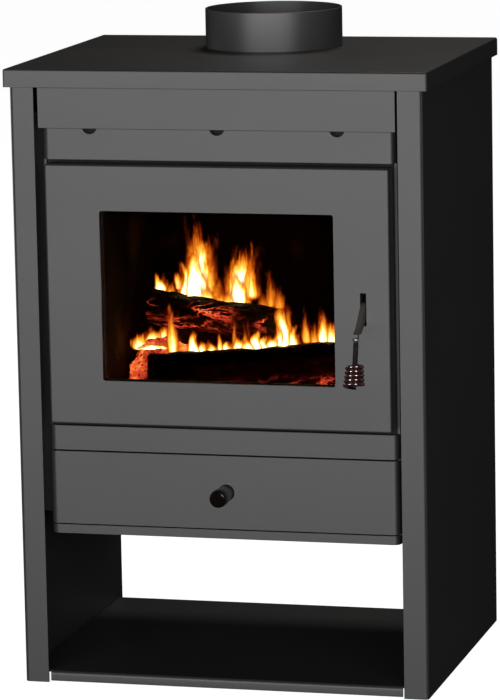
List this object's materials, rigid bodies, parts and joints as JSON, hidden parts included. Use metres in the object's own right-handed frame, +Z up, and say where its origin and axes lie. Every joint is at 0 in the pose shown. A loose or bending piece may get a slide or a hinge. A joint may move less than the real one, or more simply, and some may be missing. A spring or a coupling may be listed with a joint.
{
  "type": "wood burning stove",
  "caption": "Slim free-standing sheet-steel wood burning stove: glazed side-hung door with lever handle, ash drawer, open log store below and a round top flue collar.",
  "frame": {"origin": "on the floor, under the middle of the stove's overall box, handle included", "axes": "+X across the stove towards the handle side as seen from in front, -Y out of the front, +Z up"},
  "size_m": [0.456, 0.4292, 0.7042],
  "materials": {
    "painted_steel": "matt graphite-grey stove paint",
    "firebox_steel": "matt black, heat darkened",
    "grate_iron": "rough casting with ash dust",
    "firebrick": "matt, smoke stained",
    "door_glass": "clear ceramic glass",
    "rope_seal": "braided glass-fibre rope",
    "handle_steel": "bright steel",
    "handle_black": "blackened steel, slightly glossy",
    "knob_plastic": "moulded heat-resistant plastic, glossy dark brown",
    "firewood": "charred split log"
  },
  "bodies": {
    "stove_body": {"side_panel_left": "painted_steel", "side_panel_right": "painted_steel", "top_plate": "painted_steel", "fascia_panel": "painted_steel", "log_shelf": "painted_steel", "back_panel": "painted_steel", "flue_collar": "painted_steel", "firebox_front": "painted_steel", "side_spacer_left": "firebox_steel", "side_spacer_right": "firebox_steel", "door_frame": "firebox_steel", "firebox_wall_left": "firebox_steel", "firebox_wall_right": "firebox_steel", "firebox_wall_back": "firebox_steel", "firebox_top": "firebox_steel", "firebox_floor": "firebox_steel", "ash_chamber_floor": "firebox_steel", "drawer_guide_left": "firebox_steel", "drawer_guide_right": "firebox_steel", "drawer_stop": "firebox_steel", "baffle_plate": "firebox_steel", "airwash_deflector": "firebox_steel", "hinge_lug_lower": "firebox_steel", "hinge_lug_upper": "firebox_steel", "latch_keeper": "firebox_steel", "grate": "grate_iron", "log_retainer": "grate_iron", "firebrick_left": "firebrick", "firebrick_right": "firebrick", "firebrick_back": "firebrick", "firewood_back": "firewood", "firewood_front": "firewood", "firewood_top": "firewood", "hinge_pin_lower": "handle_steel", "hinge_pin_upper": "handle_steel"},
    "door": {"door_shell": "painted_steel", "door_inner_frame": "firebox_steel", "door_hinge_block_lower": "firebox_steel", "door_hinge_block_upper": "firebox_steel", "handle_bracket": "firebox_steel", "glass_gasket": "rope_seal", "door_rope_seal": "rope_seal", "door_glass": "door_glass", "glass_clip_upper_left": "handle_steel", "glass_clip_upper_right": "handle_steel", "glass_clip_lower_left": "handle_steel", "glass_clip_lower_right": "handle_steel", "handle_pivot_pin": "handle_steel"},
    "handle": {"handle_lever": "handle_black", "handle_rod": "handle_black", "handle_spring_grip": "handle_black", "handle_lock_nut": "handle_steel"},
    "ash_drawer": {"drawer_front": "painted_steel", "ash_drawer_tray": "firebox_steel", "drawer_knob": "knob_plastic", "knob_screw": "handle_steel"}
  },
  "joints": [
    {"name": "door_hinge", "type": "hinge", "parent": "stove_body", "child": "door", "pos_m": [-0.175, -0.14793, 0.4236], "axis": [0, 0, -1], "range_deg": [0, 100]},
    {"name": "handle_lift", "type": "hinge", "parent": "door", "child": "handle", "pos_m": [0.1587, -0.14593, 0.415], "axis": [-1, 0, 0], "range_deg": [0, 40]},
    {"name": "ash_drawer_slide", "type": "slide", "parent": "stove_body", "child": "ash_drawer", "axis": [0, -1, 0], "range_m": [0, 0.24]}
  ]
}
